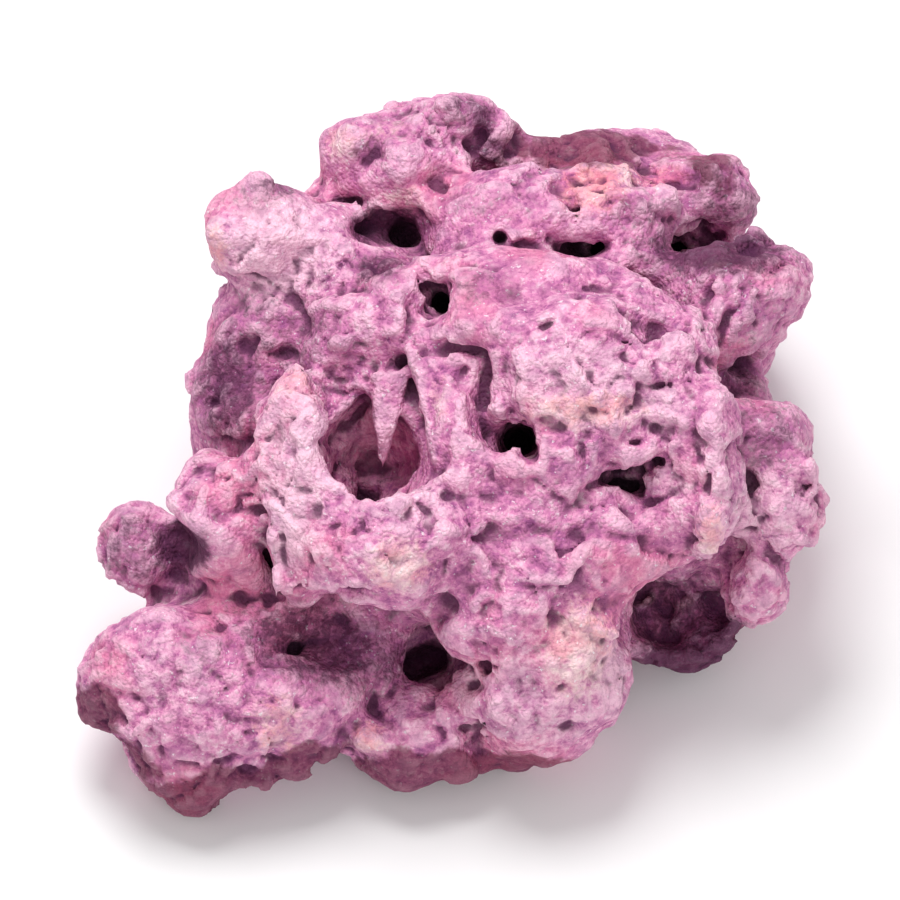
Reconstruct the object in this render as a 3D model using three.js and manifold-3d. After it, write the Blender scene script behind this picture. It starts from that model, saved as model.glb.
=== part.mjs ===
// Dry reef rock: one loose piece of porous, coralline rock, lying on its worn feet.
// Millimetres, +Z up. The front of the rock faces -Y. The origin is on the ground,
// under the middle of the rock's box.

import * as THREE from 'three';
import Module from 'manifold-3d';
import { ImprovedNoise } from 'three/addons/math/ImprovedNoise.js';
import { SimplifyModifier } from 'three/addons/modifiers/SimplifyModifier.js';
import { mergeVertices } from 'three/addons/utils/BufferGeometryUtils.js';

// Driving dimensions of the rock's box.
const ROCK_WIDTH = 250;
const ROCK_DEPTH = 242;
const ROCK_HEIGHT = 138;

// How finely the surface is sampled, and about how many triangles are left of it.
const CELL = 4.6;
const TRIANGLES = 9700;

// How softly lumps run into each other, and how softly the rims of hollows turn.
const LUMP_BLEND = 9;
const RIM_BLEND = 5;

// Surface knobs with creases between them: how far they reach, how long one is, and where in the
// noise they lie. The level is the share of the reach by which the creases cut in.
const KNOBS = [
  { reach: 3.6, length: 30, shift: 3.7 },
  { reach: 2.6, length: 16, shift: 11.3 },
];
const CREASE_LEVEL = 0.5;

// Small lumps and pits of the sides that are turned away: how many, their least and greatest radius,
// and how far in their centres lie as a share of that radius.
const BACK_KNOBS = { count: 30, radii: [9, 16], sunk: 0.7, seed: 21 };
const BACK_PITS = { count: 30, radii: [4.5, 9], sunk: 0, seed: 57 };

// Where those are, as angles around the rock from its right side, and up from the level.
const BACK_TURN = [-12, 196].map(THREE.MathUtils.degToRad);
const BACK_RISE = [-28, 30].map(THREE.MathUtils.degToRad);

// Where the rock is seen from: from the front, looking down on it. A lump's place is given
// as it is seen from there: how far right of the middle, how far up, and the height of its
// centre above the ground. Its radii run across, up and towards the eye.
const LOOK_DOWN = THREE.MathUtils.degToRad(57);
const RIGHT = new THREE.Vector3(1, 0, 0);
const UP = new THREE.Vector3(0, Math.sin(LOOK_DOWN), Math.cos(LOOK_DOWN));
const TOWARDS_EYE = new THREE.Vector3(0, -Math.cos(LOOK_DOWN), Math.sin(LOOK_DOWN));

// The middle of the rock's box lies this far in front of the point that the lumps are placed from.
const BOX_FORWARD = 31;

// How far away a search for the surface starts, and how far one step of it goes.
const SEARCH_FROM = 280;
const SEARCH_STEP = 1;

// The body under all lumps, in the rock's own axes.
const CORES = [
  { at: [14, -32, 58], radii: [86, 72, 46] },
  { at: [-30, 8, 52], radii: [42, 46, 44] },
  { at: [52, 18, 50], radii: [52, 46, 44] },
  { at: [-58, -84, 28], radii: [40, 34, 28] },
];

// Lumps of the face that is seen: [right, up, height], [across, up, towards the eye], turn in degrees.
const LUMPS = [
  // The rear left ridge with its knobs.
  { at: [2, 112, 104], radii: [15, 12, 14] },
  { at: [-15, 98, 98], radii: [23, 19, 22], turn: 20 },
  { at: [-32, 101, 98], radii: [12, 12, 13] },
  { at: [16, 100, 92], radii: [10, 9, 14] },
  { at: [6, 78, 100], radii: [18, 14, 18] },
  { at: [22, 68, 101], radii: [24, 9, 16] },
  // The two dark lobes behind, and the pale lump in front of them.
  { at: [45, 97, 84], radii: [21, 14, 22] },
  { at: [79, 85, 82], radii: [22, 17, 24] },
  { at: [58, 84, 100], radii: [22, 13, 16] },
  { at: [60, 70, 102], radii: [11, 14, 14] },
  { at: [30, 80, 104], radii: [24, 16, 16] },
  // The round knob on the left with two small knobs behind it.
  { at: [-57, 71, 96], radii: [21, 21, 20] },
  { at: [-63, 83, 90], radii: [7, 7, 9] },
  { at: [-74, 70, 88], radii: [6, 8, 10] },
  { at: [-30, 66, 96], radii: [18, 16, 18] },
  // The rough shoulder and the shaded flank under the knob.
  { at: [-52, 40, 76], radii: [27, 20, 22] },
  { at: [-66, 18, 60], radii: [19, 26, 24] },
  // The high plateau in the middle and the shelf behind it.
  { at: [40, 28, 116], radii: [42, 24, 19] },
  { at: [22, 52, 110], radii: [46, 18, 18] },
  { at: [70, 26, 106], radii: [22, 24, 20] },
  { at: [8, 36, 112], radii: [20, 18, 16] },
  // The right side: a grooved lump, a dark lobe, a fin and an upright rib.
  { at: [95, 54, 98], radii: [24, 18, 24] },
  { at: [98, 30, 86], radii: [17, 12, 18] },
  { at: [104, 4, 80], radii: [17, 18, 20] },
  { at: [110, -20, 70], radii: [14, 16, 17] },
  { at: [87, -5, 100], radii: [9, 30, 17] },
  // The walls around the large eye-shaped cave.
  { at: [-50, -4, 92], radii: [15, 33, 20] },
  { at: [-19, -33, 90], radii: [26, 18, 20], turn: 12 },
  { at: [-44, -32, 82], radii: [14, 20, 18] },
  { at: [6, 2, 98], radii: [13, 30, 18] },
  { at: [-20, 40, 100], radii: [26, 18, 18] },
  // The small lobes on the left.
  { at: [-76, -22, 72], radii: [16, 23, 22] },
  { at: [-102, -36, 46], radii: [12, 13, 15] },
  // The large low lobe at the front left.
  { at: [-85, -76, 35], radii: [37, 27, 30] },
  { at: [-58, -82, 32], radii: [34, 22, 28] },
  { at: [-83, -99, 18], radii: [22, 22, 24] },
  { at: [-46, -66, 42], radii: [30, 18, 20] },
  // The two lobes at the front middle and front right.
  { at: [-11, -96, 18], radii: [21, 18, 22] },
  { at: [32, -76, 40], radii: [27, 26, 27] },
  { at: [24, -88, 26], radii: [23, 17, 24] },
  // The slope between the plateau and the front lobes.
  { at: [38, 0, 98], radii: [34, 18, 18] },
  { at: [26, -32, 78], radii: [42, 26, 22] },
  { at: [26, -54, 64], radii: [34, 26, 21] },
  { at: [68, -16, 82], radii: [28, 26, 20] },
  // The dark base and the limb at the front right.
  { at: [74, -55, 25], radii: [25, 18, 24] },
  { at: [101, -46, 46], radii: [12, 12, 24] },
];

// Lumps of the sides that are turned away, in the rock's own axes.
const HIDDEN_LUMPS = [
  { at: [-36, 46, 44], radii: [32, 26, 40] },
  { at: [30, 62, 36], radii: [36, 24, 38] },
  { at: [80, 32, 38], radii: [30, 32, 38] },
  { at: [-62, -20, 34], radii: [20, 34, 34] },
  { at: [90, -38, 36], radii: [24, 34, 34] },
  { at: [-8, 74, 70], radii: [26, 18, 26] },
  { at: [62, 70, 66], radii: [24, 14, 22] },
];

// The parts that touch the ground, in the rock's own axes. They reach a little under it before the cut.
const FEET = [
  { at: [-82, -112, 12], radii: [26, 22, 19] },
  { at: [30, -106, 12], radii: [25, 18, 18] },
  { at: [-34, 50, 12], radii: [26, 22, 19] },
  { at: [58, 44, 12], radii: [28, 22, 19] },
  { at: [-8, -88, 13], radii: [28, 17, 14] },
];

// Hollows of the face that is seen. Each goes in from the surface, away from the eye.
const HOLLOWS = [
  { at: [-18, 75], radii: [13, 6], depth: 19, turn: 8 },
  { at: [-3, 51], radii: [5, 8], depth: 22, turn: -25 },
  { at: [44, 70], radii: [9, 5], depth: 16 },
  { at: [85, 71], radii: [15, 8], depth: 26, turn: 5 },
  { at: [114, 29], radii: [12, 12], depth: 40 },
  { at: [97, 25], radii: [14, 9], depth: 16, turn: -20 },
  { at: [12, 18], radii: [5, 15], depth: 12 },
  { at: [4, 33], radii: [10, 5], depth: 9 },
  { at: [23, 4], radii: [8, 7], depth: 30 },
  { at: [-25, -3], radii: [17, 17], depth: 38, turn: -18 },
  { at: [58, -11], radii: [11, 8], depth: 22 },
  { at: [-8, -70], radii: [12, 7], depth: 20, turn: 25 },
  { at: [-40, -62], radii: [26, 11], depth: 15, turn: -8 },
  { at: [8, -90], radii: [4, 18], depth: 13, turn: 8 },
  { at: [74, -54], radii: [18, 16], depth: 31 },
  { at: [-89, -31], radii: [9, 8], depth: 24 },
  { at: [67, 42], radii: [8, 6], depth: 8 },
];

// Hollows of the back and the underside, in the rock's own axes.
const HIDDEN_HOLLOWS = [
  { at: [18, -32, -12], radii: [44, 26, 26] },
  { at: [-10, 94, 34], radii: [16, 28, 14] },
  { at: [58, 92, 30], radii: [17, 34, 19] },
  { at: [30, 90, 84], radii: [9, 20, 8] },
  { at: [-56, 72, 66], radii: [10, 22, 10] },
  { at: [124, 2, 36], radii: [30, 16, 14] },
  { at: [112, 46, 66], radii: [22, 10, 9] },
  { at: [-96, 14, 52], radii: [28, 17, 12] },
  { at: [-84, -34, 20], radii: [26, 12, 11] },
  { at: [-20, 20, -2], radii: [24, 34, 16] },
];

const STONE = { color: 0xc583ae, roughness: 0.95, metalness: 0 };

// A point seen this far right and up of the middle, at a height above the ground.
function seenAt(right, up, height) {
  const depth = (up - height * UP.z) / UP.y;
  return new THREE.Vector3(right, depth, height);
}

// An ellipsoid with its own axes: where it is, its radii and its three directions.
function ellipsoid(centre, radii, axes) {
  return { centre, radii, axes };
}

function ownAxes() {
  return [RIGHT, new THREE.Vector3(0, 1, 0), new THREE.Vector3(0, 0, 1)];
}

function ownEllipsoid({ at, radii }) {
  return ellipsoid(new THREE.Vector3(...at), radii, ownAxes());
}

function seenAxes(turnDegrees = 0) {
  const turn = THREE.MathUtils.degToRad(turnDegrees);
  const across = RIGHT.clone().applyAxisAngle(TOWARDS_EYE, turn);
  const upwards = UP.clone().applyAxisAngle(TOWARDS_EYE, turn);
  return [across, upwards, TOWARDS_EYE];
}

// Distance from an ellipsoid's surface, negative inside it. It is exact enough near the surface.
const offset = new THREE.Vector3();
function ellipsoidDistance(point, shape) {
  offset.subVectors(point, shape.centre);
  let near = 0;
  let slope = 0;
  for (let i = 0; i < 3; i++) {
    const along = offset.dot(shape.axes[i]) / shape.radii[i];
    near += along * along;
    slope += (along / shape.radii[i]) ** 2;
  }
  near = Math.sqrt(near);
  return slope === 0 ? -Math.min(...shape.radii) : (near * (near - 1)) / Math.sqrt(slope);
}

function smoothMin(a, b, blend) {
  const overlap = Math.max(blend - Math.abs(a - b), 0) / blend;
  return Math.min(a, b) - (overlap * overlap * blend) / 4;
}

function smoothMax(a, b, blend) {
  return -smoothMin(-a, -b, blend);
}

const perlin = new ImprovedNoise();
function unevenness(point) {
  let sum = 0;
  for (const { reach, length, shift } of KNOBS) {
    const noise = perlin.noise(point.x / length + shift, point.y / length, point.z / length);
    sum += reach * (CREASE_LEVEL - 2 * Math.abs(noise));
  }
  return sum;
}

const solidShapes = [
  ...[...CORES, ...HIDDEN_LUMPS, ...FEET].map(ownEllipsoid),
  ...LUMPS.map(({ at, radii, turn }) => ellipsoid(seenAt(...at), radii, seenAxes(turn))),
];

function unhollowedDistance(point) {
  let distance = Infinity;
  for (const shape of solidShapes) {
    distance = smoothMin(distance, ellipsoidDistance(point, shape), LUMP_BLEND);
  }
  return distance;
}

// The first point in the stone on the way to a target, coming from far away in a direction.
function surfaceTowards(target, outwards) {
  const point = target.clone().addScaledVector(outwards, SEARCH_FROM);
  for (let gone = 0; gone < 2 * SEARCH_FROM; gone += SEARCH_STEP) {
    if (unhollowedDistance(point) < 0) return point;
    point.addScaledVector(outwards, -SEARCH_STEP);
  }
  return null;
}

// The surface point that is seen at a place.
function surfaceSeenAt(right, up) {
  return surfaceTowards(seenAt(right, up, 0), TOWARDS_EYE);
}

// Small round shapes on the surface of the sides and the back, in random places.
function aroundTheBack({ count, radii, sunk, seed }) {
  const shapes = [];
  const random = () => THREE.MathUtils.seededRandom();
  THREE.MathUtils.seededRandom(seed);
  for (let n = 0; n < count; n++) {
    const turn = THREE.MathUtils.lerp(...BACK_TURN, (n + random()) / count);
    const rise = THREE.MathUtils.lerp(...BACK_RISE, random());
    const outwards = new THREE.Vector3(Math.cos(turn), Math.sin(turn), Math.tan(rise)).normalize();
    const surface = surfaceTowards(new THREE.Vector3(...CORES[0].at), outwards);
    const size = [0, 1, 2].map(() => THREE.MathUtils.lerp(...radii, random()));
    surface.addScaledVector(outwards, -sunk * Math.min(...size));
    shapes.push(ellipsoid(surface, size, ownAxes()));
  }
  return shapes;
}

const hollowShapes = [
  ...HOLLOWS.map(({ at, radii, depth, turn }) => (
    ellipsoid(surfaceSeenAt(...at), [...radii, depth], seenAxes(turn))
  )),
  ...HIDDEN_HOLLOWS.map(ownEllipsoid),
  ...aroundTheBack(BACK_PITS),
];

const backKnobs = aroundTheBack(BACK_KNOBS);

// Distance from the rock's surface, negative in the stone.
function rockDistance(point) {
  let distance = unhollowedDistance(point);
  for (const shape of backKnobs) {
    distance = smoothMin(distance, ellipsoidDistance(point, shape), RIM_BLEND);
  }
  for (const shape of hollowShapes) {
    distance = smoothMax(distance, -ellipsoidDistance(point, shape), RIM_BLEND);
  }
  return distance + unevenness(point);
}

// A regular grid of distances around the rock, with a few cells to spare on each side.
function sampleGrid() {
  const spare = 4 * CELL;
  const low = new THREE.Vector3(-ROCK_WIDTH / 2, -ROCK_DEPTH / 2 - BOX_FORWARD, 0).subScalar(spare);
  const counts = [ROCK_WIDTH, ROCK_DEPTH, ROCK_HEIGHT].map((side) => (
    Math.ceil((side + 2 * spare) / CELL) + 1
  ));
  const grid = { low, counts, values: new Float32Array(counts[0] * counts[1] * counts[2]) };
  const point = new THREE.Vector3();
  forEachPlace(counts, (i, j, k) => {
    point.set(low.x + i * CELL, low.y + j * CELL, low.z + k * CELL);
    grid.values[placeIndex(counts, i, j, k)] = rockDistance(point);
  });
  return grid;
}

function placeIndex(counts, i, j, k) {
  return i + counts[0] * (j + counts[1] * k);
}

function forEachPlace(counts, visit) {
  for (let k = 0; k < counts[2]; k++) {
    for (let j = 0; j < counts[1]; j++) {
      for (let i = 0; i < counts[0]; i++) visit(i, j, k);
    }
  }
}

// All places joined to a first one, through neighbours for which belongs() is true.
function floodFrom(grid, first, belongs) {
  const [nx, ny, nz] = grid.counts;
  const strides = [1, nx, nx * ny];
  const reached = new Uint8Array(grid.values.length);
  const waiting = [first];
  reached[first] = 1;
  while (waiting.length > 0) {
    const here = waiting.pop();
    const place = [here % nx, Math.floor(here / nx) % ny, Math.floor(here / (nx * ny))];
    for (let axis = 0; axis < 3; axis++) {
      for (const side of [-1, 1]) {
        const moved = place[axis] + side;
        const next = here + side * strides[axis];
        if (moved < 0 || moved >= [nx, ny, nz][axis] || reached[next] || !belongs(next)) continue;
        reached[next] = 1;
        waiting.push(next);
      }
    }
  }
  return reached;
}

// The distance given to a place that is turned from stone to air or back.
const SHALLOW = CELL / 6;

// Leaves one piece of stone with no sealed bubbles in it.
function keepOnePiece(grid) {
  const { values } = grid;
  const air = floodFrom(grid, 0, (n) => values[n] > 0);
  values.forEach((value, n) => {
    if (value > 0 && !air[n]) values[n] = -SHALLOW;
  });
  const deepest = values.reduce((best, value, n) => (value < values[best] ? n : best), 0);
  const stone = floodFrom(grid, deepest, (n) => values[n] <= 0);
  values.forEach((value, n) => {
    if (value <= 0 && !stone[n]) values[n] = SHALLOW;
  });
}

// Fills the places where two stone corners would meet only along an edge or at a point.
function fillPinches(grid) {
  const { counts, values } = grid;
  const steps = [1, counts[0], counts[0] * counts[1]];
  const inside = (n) => values[n] <= 0;
  const fill = (n) => {
    values[n] = -SHALLOW;
  };
  let filled = true;
  while (filled) {
    filled = false;
    forEachPlace(counts.map((count) => count - 1), (i, j, k) => {
      const corner = placeIndex(counts, i, j, k);
      for (let axis = 0; axis < 3; axis++) {
        const a = steps[axis];
        const b = steps[(axis + 1) % 3];
        const [p, q, r, s] = [corner, corner + a, corner + b, corner + a + b];
        if (inside(p) === inside(s) && inside(q) === inside(r) && inside(p) !== inside(q)) {
          fill(inside(p) ? q : p);
          filled = true;
        }
      }
      filled = fillOppositeCorners(corner, steps, inside, fill) || filled;
    });
  }
}

// The same for the four pairs of corners that lie across a cell from each other.
function fillOppositeCorners(corner, [a, b, c], inside, fill) {
  const cell = [0, a, b, a + b, c, a + c, b + c, a + b + c].map((step) => corner + step);
  const stoneCount = cell.filter(inside).length;
  if (stoneCount !== 2 && stoneCount !== 6) return false;
  for (let n = 0; n < 4; n++) {
    const pair = [cell[n], cell[7 - n]];
    if (stoneCount === 2 && pair.every(inside)) {
      fill(cell[n ^ 1]);
      return true;
    }
    if (stoneCount === 6 && !pair.some(inside)) {
      fill(pair[0]);
      return true;
    }
  }
  return false;
}

// One vertex in each cell that the surface crosses, at the mean of its edges' crossings.
function cellVertices(grid) {
  const { counts, values, low } = grid;
  const positions = [];
  const vertexOf = new Int32Array(values.length).fill(-1);
  const corners = [0, 1, 2, 3, 4, 5, 6, 7].map((n) => [n & 1, (n >> 1) & 1, n >> 2]);
  const edges = [];
  for (let n = 0; n < 8; n++) {
    for (const bit of [1, 2, 4]) {
      if (!(n & bit)) edges.push([n, n | bit]);
    }
  }
  forEachPlace(counts.map((count) => count - 1), (i, j, k) => {
    const value = corners.map(([a, b, c]) => values[placeIndex(counts, i + a, j + b, k + c)]);
    const mean = new THREE.Vector3();
    let crossings = 0;
    for (const [m, n] of edges) {
      if ((value[m] <= 0) === (value[n] <= 0)) continue;
      const t = value[m] / (value[m] - value[n]);
      mean.add(new THREE.Vector3(...corners[m]).lerp(new THREE.Vector3(...corners[n]), t));
      crossings += 1;
    }
    if (crossings === 0) return;
    mean.divideScalar(crossings).add(new THREE.Vector3(i, j, k));
    vertexOf[placeIndex(counts, i, j, k)] = positions.length / 3;
    positions.push(low.x + mean.x * CELL, low.y + mean.y * CELL, low.z + mean.z * CELL);
  });
  return { positions, vertexOf };
}

// Two triangles across each grid edge that leaves the stone, split along the shorter diagonal.
function surfaceGeometry(grid) {
  const { counts, values } = grid;
  const { positions, vertexOf } = cellVertices(grid);
  const steps = [1, counts[0], counts[0] * counts[1]];
  const triangles = [];
  const gap = (m, n) => Math.hypot(...[0, 1, 2].map((c) => positions[3 * m + c] - positions[3 * n + c]));
  forEachPlace(counts.map((count) => count - 1), (i, j, k) => {
    const here = placeIndex(counts, i, j, k);
    for (let axis = 0; axis < 3; axis++) {
      const there = here + steps[axis];
      const leaves = values[here] <= 0;
      if (leaves === (values[there] <= 0)) continue;
      const a = steps[(axis + 1) % 3];
      const b = steps[(axis + 2) % 3];
      const ring = [here, here - a, here - a - b, here - b].map((n) => vertexOf[n]);
      if (!leaves) ring.reverse();
      const [p, q, r, s] = ring;
      if (gap(p, r) < gap(q, s)) triangles.push(p, q, r, p, r, s);
      else triangles.push(q, r, s, q, s, p);
    }
  });
  const geometry = new THREE.BufferGeometry();
  geometry.setAttribute('position', new THREE.Float32BufferAttribute(positions, 3));
  geometry.setIndex(triangles);
  return geometry;
}

// Merges the small triangles of the gentle places, so that the rest go to the pits and creases.
async function simplify(geometry) {
  const verticesLeft = TRIANGLES / 2;
  const spare = geometry.attributes.position.count - verticesLeft;
  return new SimplifyModifier().modify(geometry, Math.max(0, spare));
}

function toSolid(wasm, geometry) {
  const plain = geometry.clone();
  plain.deleteAttribute('normal');
  plain.deleteAttribute('uv');
  const merged = mergeVertices(plain);
  return new wasm.Manifold(new wasm.Mesh({
    numProp: 3,
    vertProperties: new Float32Array(merged.attributes.position.array),
    triVerts: new Uint32Array(merged.index.array),
  }));
}

function toGeometry(solid) {
  const mesh = solid.getMesh();
  const geometry = new THREE.BufferGeometry();
  geometry.setAttribute('position', new THREE.Float32BufferAttribute(mesh.vertProperties, 3));
  geometry.setIndex(Array.from(mesh.triVerts));
  return geometry;
}

// The feet are worn flat: everything under the ground plane is taken off. A chip that only hung
// together with the rock below that plane goes too.
function cutAtGround(wasm, geometry) {
  const ground = new THREE.BoxGeometry(2 * ROCK_WIDTH, 2 * ROCK_DEPTH, ROCK_HEIGHT);
  ground.translate(0, -BOX_FORWARD, -ROCK_HEIGHT / 2);
  const pieces = toSolid(wasm, geometry).subtract(toSolid(wasm, ground)).decompose();
  return toGeometry(pieces.reduce((best, piece) => (piece.volume() > best.volume() ? piece : best)));
}

// Puts the middle of the rock's box over the origin and gives the box its exact size.
function fitToBox(geometry) {
  geometry.computeBoundingBox();
  const box = geometry.boundingBox;
  const middle = box.getCenter(new THREE.Vector3());
  const size = box.getSize(new THREE.Vector3());
  geometry.translate(-middle.x, -middle.y, -box.min.z);
  geometry.scale(ROCK_WIDTH / size.x, ROCK_DEPTH / size.y, ROCK_HEIGHT / size.z);
}

async function buildRock() {
  const wasm = await Module();
  wasm.setup();
  const grid = sampleGrid();
  keepOnePiece(grid);
  fillPinches(grid);
  const geometry = cutAtGround(wasm, await simplify(surfaceGeometry(grid)));
  fitToBox(geometry);
  geometry.computeVertexNormals();
  const rock = new THREE.Mesh(geometry, new THREE.MeshStandardMaterial(STONE));
  rock.name = 'reef_rock';
  return rock;
}

const part = new THREE.Group();
part.add(await buildRock());

export default part;
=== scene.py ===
# Looks of the dry reef rock: a fine mesh grown from the CAD rock, its stone, and a floor, light and camera.
# Sizes are in millimetres, and metres only where Blender gets them.

import math

import bpy
import numpy as np
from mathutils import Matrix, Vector
from mathutils.bvhtree import BVHTree


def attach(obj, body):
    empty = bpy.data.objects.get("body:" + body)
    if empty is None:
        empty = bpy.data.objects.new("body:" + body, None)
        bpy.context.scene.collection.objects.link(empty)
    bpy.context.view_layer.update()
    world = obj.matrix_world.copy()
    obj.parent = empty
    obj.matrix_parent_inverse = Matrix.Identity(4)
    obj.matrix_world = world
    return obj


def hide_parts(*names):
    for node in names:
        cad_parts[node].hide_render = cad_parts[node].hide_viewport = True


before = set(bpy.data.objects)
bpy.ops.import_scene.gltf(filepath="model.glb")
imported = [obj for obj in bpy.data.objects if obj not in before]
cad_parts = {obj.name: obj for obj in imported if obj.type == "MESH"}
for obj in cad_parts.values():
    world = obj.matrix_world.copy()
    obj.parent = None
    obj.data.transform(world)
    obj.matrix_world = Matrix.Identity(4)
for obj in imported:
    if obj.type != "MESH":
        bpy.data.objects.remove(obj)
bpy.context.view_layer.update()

METRE = 1000.0
TRIANGLES = 196_000

# The distance field: its cells for the CAD rock, which are halved for the fine rock, and the room around it.
COARSE_CELL = 2.6
MARGIN = 10.4

# Rays to the seen face start this far out. Rays straight up run a little beside the grid lines, where they
# rarely meet a corner or an edge, and go on a little way past each surface that they find.
RAY_START = 500.0
RAY_SHIFT = (0.003, 0.007)
RAY_STEP = 0.01

# Widths of the blurs that round off the CAD rock and then the finished one's thin edges, in cells, and how
# many widths far a blur looks.
CAD_SOFTNESS = 1.7
EDGE_SOFTNESS = 0.36
BLUR_REACH = 2.5

# Noise: how far apart its knots are, as a share of a wave, and how many standard deviations make up 1.
KNOT_SPACING = 0.5
NOISE_SPREAD = 2.5

# Keeps from dividing by zero in the middle of an ellipsoid.
LEAST_SLOPE = 1e-6

# The rock is seen from the front, looking down on it. Places on the seen face are given as (right, up) of
# the middle of its outline, across the line of sight. That middle lies this far up, and the camera aims at
# it this far towards the eye.
LOOK_DOWN = math.radians(57)
RIGHT = np.array([1.0, 0.0, 0.0])
UP = np.array([0.0, math.sin(LOOK_DOWN), math.cos(LOOK_DOWN)])
TOWARDS_EYE = np.array([0.0, -math.cos(LOOK_DOWN), math.sin(LOOK_DOWN)])
OUTLINE_MIDDLE_UP = 27.1
MIDDLE_TOWARDS_EYE = 60.0

# Pits and holes of the seen face: place, half width, half height, depth, turn in degrees.
PITS = [
    ((-14, 71.5), 5.5, 4.4, 8, 10),
    ((-27, 74.5), 10, 2.8, 7, 8),
    ((-5, 54), 3.8, 1.7, 10, -20),
    ((-2.6, 48.5), 2.7, 3.8, 16, 30),
    ((16.5, 70.5), 2.8, 2.8, 12, 0),
    ((37.5, 66), 1.8, 2.0, 6, 0),
    ((49, 67), 2.4, 2.4, 6, 0),
    ((76, 66), 5, 4.5, 6, 0),
    ((99, 68), 4, 3, 7, 0),
    ((23.2, 3.3), 6, 5.4, 26, 0),
    ((26, -0.5), 4.4, 4.4, 20, 0),
    ((61.2, -6.2), 9.5, 1.9, 10, 15),
    ((57, -14), 6.5, 5, 4, 0),
    ((60.4, 1.8), 2.6, 1.6, 5, 0),
    ((98.5, -10.5), 3.2, 4.2, 7, 20),
    ((-8.5, -71), 11, 4.4, 9, 25),
    ((13.2, -71.7), 5.2, 1.8, 10, 8),
    ((-29.3, 98.3), 4.0, 3.0, 6, 10),
    ((-52.5, -65.5), 2.4, 4.0, 6, -25),
    ((-48.5, -64), 3.8, 1.5, 4, 25),
    ((-37, -57), 3.0, 2.2, 2.5, 0),
    ((-64.7, -19.7), 5.0, 2.2, 5, -5),
    ((-78.3, 16.3), 2.6, 2.2, 6, 0),
    ((42.5, 51), 2.2, 1.8, 3, 0),
    ((31.7, 41.3), 2.4, 1.8, 4, 35),
    ((59, 31.3), 2.4, 1.8, 4, 0),
    ((39.7, -92.2), 5.5, 1.8, 3.5, 5),
    ((-89.8, -31.7), 7, 6, 3.5, 20),
    ((101, 28), 11, 5, 10, -15),
    ((64, -47), 5, 4, 7, 20),
    ((88, -52), 7, 6, 8, 0),
    ((-32.5, 9.5), 10.5, 3.4, 14, 51),
    ((-28, -15.5), 4.5, 4, 9, 0),
    ((28, 68.3), 10.5, 1.7, 7, 0),
    ((72, -62), 6, 3, 4, -20),
]

# Grooves: places along each, radius, and how deep its middle lies in the surface.
GROOVES = [
    ([(-4, 33), (5, 33.8), (11, 32), (12, 24), (11, 12), (13, 5), (22, 4)], 2.1, 1.4),
    ([(48, 70), (41, 80), (37, 90)], 1.3, 0.3),
    ([(-30, 69), (-26, 60)], 1.6, 0.4),
    ([(-15.5, 29), (-12, 14), (-8, 2)], 2.4, 2.2),
    ([(5, 27), (0, 14), (-3, -2)], 1.7, 0.8),
    ([(8, -25), (17, -28), (27, -25.5), (38, -28), (48, -26), (64, -30)], 1.5, 0.3),
    ([(84, 56), (85, 48), (84, 40)], 1.4, 0.3),
    ([(92, 58), (92, 48), (93, 40)], 1.4, 0.3),
    ([(100, 58), (99, 50), (101, 42)], 1.4, 0.3),
    ([(56, 47), (63, 42), (71, 38)], 1.8, 0.6),
    ([(20, 8), (35, 5), (52, 4.5), (60, 3)], 1.8, -0.2),
    ([(-66, 54), (-56, 51), (-46, 50), (-38, 54)], 1.8, -0.2),
    ([(-30, -47), (-52, -50), (-76, -48), (-92, -52)], 4.5, 2.0),
    ([(-17, -96), (-24, -84), (-14, -76)], 1.3, 0.2),
    ([(-1, -52), (-8, -62)], 3.2, 1.0),
    ([(21, 100), (24, 106)], 3.0, 1.0),
    ([(55, 104), (60, 98), (70, 92), (82, 93)], 3.0, 0.8),
    ([(36, 88), (46, 92), (60, 93)], 2.6, 0.8),
    ([(-44, 84), (-37, 76), (-34, 66), (-37, 57), (-47, 51), (-60, 52)], 2.2, 0.7),
    ([(-70, 35), (-58, 31), (-50, 29), (-35, 25)], 2.2, 0.0),
    ([(-84, 38), (-70, 35), (-65, 26), (-65, 4)], 2.4, 0.8),
    ([(-61, -8), (-61, -22), (-60, -42)], 1.6, 0.4),
    ([(-2, 84), (13, 88)], 1.2, 0.3),
    ([(-50, 8), (-42, 5)], 1.2, 0.4),
    ([(-30, 104), (-20, 96), (-8, 98)], 1.8, 0.4),
    ([(-8, 104), (0, 101), (12, 104)], 1.6, 0.5),
]

# Raised ribs and crests: places along each, radius at its start and end, and how far out its middle lies.
RIBS = [
    ([(84, 14), (88, 4), (88, -10), (85, -30)], 3.0, 3.4, -1.2),
    ([(-108, -84), (-98, -103), (-80, -109), (-68, -110)], 2.6, 2.2, -0.8),
    ([(-68, -110), (-57, -107), (-50, -99), (-40, -100), (-27, -89)], 2.6, 2.2, -0.8),
    ([(60, -46), (66, -47), (71, -53)], 1.9, 1.4, 0.6),
    ([(76, -57), (78, -51), (84, -48)], 1.9, 1.4, 0.6),
    ([(3, -9), (-8, -16), (-24, -22)], 4.5, 3.8, -1.6),
    ([(36, 13), (53, 9), (66, 12)], 4.2, 3.6, -2.0),
    ([(-61, 24), (-56, 6), (-54, -14), (-50, -30)], 5.0, 4.0, -2.2),
    ([(15.8, 31), (16, 20), (17, 9)], 1.9, 1.8, 0.8),
]

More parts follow.
